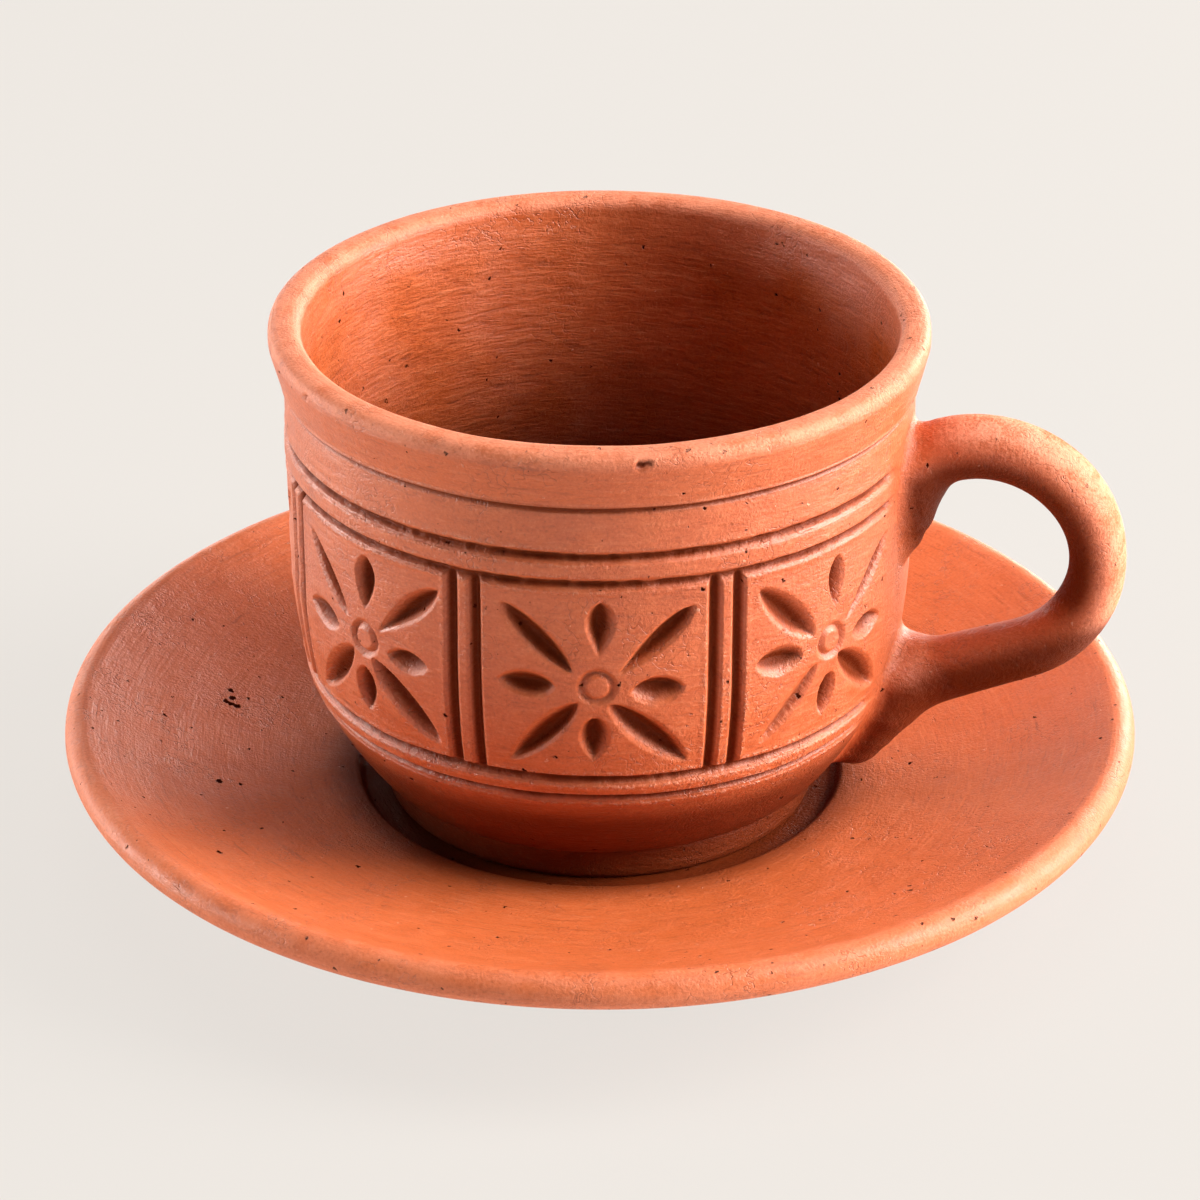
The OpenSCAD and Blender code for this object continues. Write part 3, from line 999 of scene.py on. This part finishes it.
class Nodes:
    """Short way to write a node tree."""

    def __init__(self, tree):
        self.tree = tree
        tree.nodes.clear()

    def add(self, kind, inputs=(), **settings):
        made = self.tree.nodes.new("ShaderNode" + kind)
        for name, value in settings.items():
            setattr(made, name, value)
        for name, value in dict(inputs).items():
            self.put(made.inputs[name], value)
        return made

    def put(self, socket, value):
        """Links or sets an input."""
        if isinstance(value, bpy.types.NodeSocket):
            self.tree.links.new(value, socket)
        else:
            socket.default_value = value

    def math(self, operation, a, b=0.0):
        return self.add("Math", {0: a, 1: b}, operation=operation).outputs[0]

    def times(self, a, b):
        return self.math("MULTIPLY", a, b)

    def plus(self, a, b):
        return self.math("ADD", a, b)

    def most(self, a, b):
        return self.math("MAXIMUM", a, b)

    def noise(self, vector, scale, detail=2.0, roughness=0.5):
        inputs = {"Vector": vector, "Scale": scale, "Detail": detail, "Roughness": roughness}
        return self.add("TexNoise", inputs).outputs["Fac"]

    def span(self, value, low, high, to_low=0.0, to_high=1.0):
        """A soft step from to_low to to_high as value goes from low to high."""
        inputs = {0: value, 1: low, 2: high, 3: to_low, 4: to_high}
        return self.add("MapRange", inputs, interpolation_type="SMOOTHSTEP").outputs[0]

    def mix(self, share, a, b):
        made = self.add("Mix", data_type="RGBA")
        for place, value in ((0, share), (6, a), (7, b)):
            self.put(made.inputs[place], value)
        return made.outputs[2]

    def value_of(self, name):
        """One of the values that a piece has at each point."""
        return self.add("Attribute", attribute_name=name).outputs["Fac"]


class Clay(Nodes):
    """Tree of a clay, whose colour and height in millimetres are built up one feature at a time."""

    def __init__(self, tree, light):
        super().__init__(tree)
        place = self.add("TexCoord").outputs["Object"]
        self.mm = self.add("VectorMath", {0: place, 3: 1 / MM}, operation="SCALE").outputs[0]
        self.x, self.y, self.z = self.add("SeparateXYZ", {0: self.mm}).outputs
        self.patches = self.noise(self.mm, PATCH_SCALE)
        self.mottle = self.noise(self.mm, MOTTLE_SCALE, 5.0, 0.6)
        self.grain = self.noise(self.mm, GRAIN_SCALE, 3.0, 0.65)
        tone = self.plus(self.times(self.patches, 0.6), self.times(self.mottle, 0.4))
        # light makes more of the clay the paler tone: painted light
        self.colour = self.mix(self.span(tone, 0.3 - light, 0.7 - light), CLAY_DEEP, CLAY_MID)
        self.tint(self.span(self.grain, 0.5, 0.8, 0.0, 0.4), CLAY_PALE)
        self.tint(self.span(self.grain, 0.2, 0.5, 0.35, 0.0), CLAY_DARK_AND_SHADE)
        self.height = self.times(self.mottle, MOTTLE_H)
        rougher = self.span(self.noise(self.mm, 0.11), 0.42, 0.62, 0.35, 1.1)
        self.swell(self.times(self.grain, rougher), GRAIN_H)

    def tint(self, share, colour):
        self.colour = self.mix(share, self.colour, colour)

    def swell(self, shape, height):
        self.height = self.plus(self.height, self.times(shape, height))


def pits(n, place, scale, chance, small, large):
    """Pinholes that air left in the clay: 1 in a hole, 0 beside it."""
    cells = n.add("TexVoronoi", {"Vector": place, "Scale": scale})
    draw = n.add("SeparateColor", {0: cells.outputs["Color"]})
    size = n.math("POWER", draw.outputs[1], 2.0)
    radius = n.plus(n.times(size, (large - small) * scale), small * scale)
    hole = n.span(n.math("DIVIDE", cells.outputs["Distance"], radius), 0.55, 1.0, 1.0, 0.0)
    return n.times(hole, n.math("GREATER_THAN", draw.outputs[0], 1 - chance))


def turning_marks(clay, depth):
    """Strokes round the axis, of a depth, and the place that finer marks along them are read at."""
    r = clay.math("SQRT", clay.plus(clay.times(clay.x, clay.x), clay.times(clay.y, clay.y)))
    safe_r = clay.most(r, 1.0)
    marks = clay.add("CombineXYZ", {
        0: clay.times(clay.math("DIVIDE", clay.x, safe_r), STROKE_R),
        1: clay.times(clay.math("DIVIDE", clay.y, safe_r), STROKE_R),
        2: clay.plus(clay.plus(clay.z, r), clay.times(clay.mottle, 0.9)),
    }).outputs[0]
    strokes = clay.noise(marks, STROKE_SCALE, 4.0, 0.65)
    clay.tint(clay.span(strokes, 0.5, 0.8, 0.0, 0.4), CLAY_PALE)
    clay.tint(clay.span(strokes, 0.2, 0.45, 0.4, 0.0), CLAY_DARK_AND_SHADE)
    clay.swell(strokes, depth)
    return marks


def rake_marks(clay, marks):
    """Coarse marks where the clay was scraped. Gives how far each place was."""
    raked = clay.value_of("raked")
    rakes = clay.noise(marks, RAKE_SCALE, 6.0, 0.75)
    raked = clay.times(raked, clay.span(clay.noise(clay.mm, 0.06), 0.35, 0.65, 0.45, 1.0))
    clay.tint(clay.times(raked, clay.span(rakes, 0.3, 0.5, 0.3, 0.0)), CLAY_DARK_AND_SHADE)
    clay.swell(clay.times(rakes, raked), RAKE_H)
    return raked


def wrinkles(clay):
    """Fine folds in patches."""
    folds = clay.noise(clay.mm, FOLD_SCALE)
    fold = clay.span(clay.math("ABSOLUTE", clay.math("SUBTRACT", folds, 0.5)), 0.0, 0.022, 1.0, 0.0)
    fold = clay.times(fold, clay.span(clay.noise(clay.mm, 0.12), 0.5, 0.62))
    clay.tint(clay.times(fold, 0.25), CLAY_DARK_AND_SHADE)
    clay.swell(fold, -FOLD_H)


def pinholes(clay, scars):
    """Holes of two sizes and torn spots, darkened with painted shade, and pale specks. Gives 1 in a hole."""
    bend = clay.add("TexNoise", {"Vector": clay.mm, "Scale": 1.9, "Detail": 2.0}).outputs["Color"]
    bent = clay.add("VectorMath", {0: clay.mm, 1: bend}, operation="ADD").outputs[0]
    pit = clay.most(pits(clay, bent, 0.5, 0.5, 0.1, 0.36), pits(clay, bent, 0.16, 0.5, 0.22, 0.5))
    across, along, _ = clay.add("SeparateXYZ", {0: bend}).outputs
    flat = clay.add("CombineXYZ", {0: clay.plus(clay.x, across), 1: clay.plus(clay.y, along)}).outputs[0]
    upper = clay.math("GREATER_THAN", clay.z, well_z + 2)
    for radius, turn in scars:
        spot = (radius * math.cos(turn), radius * math.sin(turn), 0)
        away = clay.add("VectorMath", {0: flat, 1: spot}, operation="DISTANCE").outputs["Value"]
        pit = clay.most(pit, clay.times(clay.span(away, *SCAR_EDGE, 1.0, 0.0), upper))
    # Painted shade in the holes and torn spots
    clay.tint(pit, CLAY_PIT_SHADE)
    clay.swell(pit, -PIT_H)
    speck = pits(clay, bent, 0.62, 0.25, 0.1, 0.24)
    clay.tint(clay.times(speck, 0.5), CLAY_CRUMB)
    clay.swell(speck, SPECK_H)
    return pit


def carved_marks(clay):
    """Torn floors of the cuts, darkened with painted shade by their depth, and pale crumbs along their
    edges. Gives how deep each place is.
    """
    depth = clay.value_of("carved")
    deep = clay.span(depth, 0.15, 1.35)
    # Painted shade, deeper where the cut is deeper
    clay.tint(clay.times(deep, 0.85), CLAY_DARK_AND_SHADE)
    crumbs = clay.span(clay.noise(clay.mm, CRUMB_SCALE, 3.0, 0.6), 0.5, 0.6)
    crumble = clay.times(clay.value_of("crumbly"), crumbs)
    crumble = clay.times(crumble, clay.span(clay.patches, 0.4, 0.6, 0.3, 1.0))
    clay.tint(clay.times(crumble, 0.2), CLAY_CRUMB)
    clay.swell(crumble, CRUMB_H)
    tears = clay.noise(clay.mm, TEAR_SCALE, 4.0, 0.7)
    clay.swell(clay.times(clay.span(depth, 0.05, 0.5), tears), TEAR_H)
    return deep


def terracotta(name, turned_marks, carved, shine, light, scars=()):
    """Unglazed fired clay, with turning marks of a depth, or none where that is 0.

    shine is the specular level of its smooth places, and light makes more of it pale, as painted light in
    place of more lamp light.
    """
    material = bpy.data.materials.new(name)
    material.use_nodes = True
    clay = Clay(material.node_tree, light)
    if turned_marks:
        marks = turning_marks(clay, turned_marks)
        clay.swell(clay.noise(marks, HAIR_SCALE, 3.0, 0.6), turned_marks / 2)
    else:
        marks = clay.mm
        clay.swell(clay.noise(marks, SMEAR_SCALE, 3.0, 0.6), SMEAR_H)
    raked = rake_marks(clay, marks)
    wrinkles(clay)
    pit = pinholes(clay, scars)

    # Pale colour, partly wear and partly painted highlight
    worn_and_highlight = clay.value_of("worn_and_highlight")
    uneven = clay.plus(clay.mottle, clay.times(clay.grain, 0.5))
    clay.tint(clay.times(worn_and_highlight, clay.span(uneven, 0.5, 0.9, 0.35, 1.0)), CLAY_WEAR_AND_HIGHLIGHT)
    # Painted shade from each piece's own values
    shade = clay.value_of("shade")
    clay.tint(shade, CLAY_DARK_AND_SHADE)
    dull = pit
    if carved:
        dull = clay.most(pit, clay.times(carved_marks(clay), 0.8))
    dull = clay.most(dull, clay.times(clay.most(shade, raked), 0.85))
    dull = clay.most(dull, clay.times(worn_and_highlight, 1.3))

    rough = clay.plus(clay.span(clay.mottle, 0.3, 0.7, 0.4, 0.54), clay.times(pit, 0.45))
    rough = clay.plus(rough, clay.times(worn_and_highlight, 0.22))
    bump = clay.add("Bump", {"Strength": 1.0, "Distance": MM, "Height": clay.height})
    shader = clay.add("BsdfPrincipled", {
        "Base Color": clay.colour,
        "Roughness": rough,
        "Normal": bump.outputs[0],
        "Specular IOR Level": clay.span(dull, 0.0, 1.0, shine, 0.0),
    })
    clay.add("OutputMaterial", {"Surface": shader.outputs[0]})
    return material


cup_clay = terracotta("cup_clay", turned_marks=0.12, carved=True, shine=0.75, light=0.0)
handle_clay = terracotta("handle_clay", turned_marks=0.0, carved=False, shine=0.7, light=0.0)
# The saucer's clay is paler: painted light, in place of more lamp light on it
saucer_clay = terracotta(
    "saucer_clay", turned_marks=0.06, carved=False, shine=0.5, light=0.2, scars=SAUCER_SCARS,
)

build_bowl(cup_clay)
build_foot(cup_clay)
build_handle(handle_clay)
build_saucer(saucer_clay)

# Floor, which shows its own pale colour and keeps a soft shadow

PAPER = linear(241, 236, 230)
FLOOR_HALF = 4.0
FLOOR_GLOW = 0.92
FLOOR_GLOW_SHARE = 0.93
FLOOR_CORNERS = [(-1, -1), (1, -1), (1, 1), (-1, 1)]
floor_mesh = bpy.data.meshes.new("floor")
floor_mesh.from_pydata([(FLOOR_HALF * x, FLOOR_HALF * y, 0) for x, y in FLOOR_CORNERS], [], [(0, 1, 2, 3)])
floor = bpy.data.objects.new("floor", floor_mesh)
bpy.context.scene.collection.objects.link(floor)
paper = bpy.data.materials.new("paper")
paper.use_nodes = True
sheet = Nodes(paper.node_tree)
seen = sheet.add("LightPath")
shown = sheet.most(seen.outputs["Is Camera Ray"], seen.outputs["Is Glossy Ray"])
shown = sheet.most(shown, seen.outputs["Is Transmission Ray"])
plain = sheet.add("BsdfDiffuse", {"Color": PAPER})
glow = sheet.add("Emission", {"Color": PAPER, "Strength": FLOOR_GLOW})
share = sheet.times(shown, FLOOR_GLOW_SHARE)
blend = sheet.add("MixShader", {0: share, 1: plain.outputs[0], 2: glow.outputs[0]})
sheet.add("OutputMaterial", {"Surface": blend.outputs[0]})
floor_mesh.materials.append(paper)

# Light

WORLD_LIGHT = 0.03
# Heights of a heading between which the pale wall ends in reflections
WALL_END = (0.1, 0.3)
scene = bpy.context.scene
scene.view_settings.view_transform = "Standard"
world = bpy.data.worlds.new("studio")
world.use_nodes = True
scene.world = world
sky = Nodes(world.node_tree)
seen = sky.add("LightPath")
heading = sky.add("SeparateXYZ", {0: sky.add("TexCoord").outputs["Generated"]})
wall = sky.span(heading.outputs[2], *WALL_END, 1.0, 0.0)
mirrored = sky.most(seen.outputs["Is Glossy Ray"], seen.outputs["Is Transmission Ray"])
shown = sky.most(seen.outputs["Is Camera Ray"], sky.times(mirrored, wall))
strength = sky.plus(sky.times(shown, 1 - WORLD_LIGHT), WORLD_LIGHT)
background = sky.add("Background", {"Color": PAPER, "Strength": strength})
sky.add("OutputWorld", {"Surface": background.outputs[0]})

CAMERA_TURN = math.radians(-77)
AIM = Vector((0, 0, 0.035))
LAMP_DISTANCE = 0.9
LAMP_COLOUR = (1.0, 0.96, 0.92)
# Lamps: name, degrees to the right of the camera, degrees up, size and watts
LAMPS = [
    ("key", 80, 29, 0.6, 13.0),
    ("key_high", 82, 46, 0.6, 4.6),
    ("key_low", 93, 8, 0.45, 8.8),
    ("fill_left", -98, 4, 0.4, 9.4),
    ("fill_back", -125, 5, 0.4, 1.8),
    ("fill_high", -125, 50, 0.6, 0.6),
    ("rim_left", -155, 4, 0.4, 2.2),
    ("rim_right", 148, 7, 0.4, 8.0),
    ("back", 180, 30, 0.5, 0.3),
    ("top", 0, 88, 0.6, 2.6),
]


def lamp(name, side, rise, size, watts):
    """An area lamp aimed at the cup, side degrees to the right of the camera and rise degrees up."""
    turn = CAMERA_TURN + math.radians(side)
    up = math.radians(rise)
    data = bpy.data.lights.new(name, "AREA")
    data.shape = "DISK"
    data.size = size
    data.energy = watts
    data.color = LAMP_COLOUR
    obj = bpy.data.objects.new(name, data)
    away = Vector((math.cos(turn) * math.cos(up), math.sin(turn) * math.cos(up), math.sin(up)))
    obj.location = AIM + away * LAMP_DISTANCE
    obj.rotation_mode = "QUATERNION"
    obj.rotation_quaternion = (-away).to_track_quat("-Z", "Y")
    obj.visible_camera = False
    scene.collection.objects.link(obj)


for row in LAMPS:
    lamp(*row)

# Camera

CAMERA_BACK = 0.45239
CAMERA_UP = 0.27406
CAMERA_DIP = math.radians(28.109)
CAMERA_SENSOR = 36
CAMERA_LENS = 117.05
eye = bpy.data.cameras.new("camera")
eye.sensor_width = CAMERA_SENSOR
eye.lens = CAMERA_LENS
camera = bpy.data.objects.new("camera", eye)
toward = Vector((-math.cos(CAMERA_TURN), -math.sin(CAMERA_TURN), 0))
camera.location = -toward * CAMERA_BACK + Vector((0, 0, CAMERA_UP))
look = toward * math.cos(CAMERA_DIP) - Vector((0, 0, math.sin(CAMERA_DIP)))
camera.rotation_mode = "QUATERNION"
camera.rotation_quaternion = look.to_track_quat("-Z", "Y")
scene.collection.objects.link(camera)
scene.camera = camera
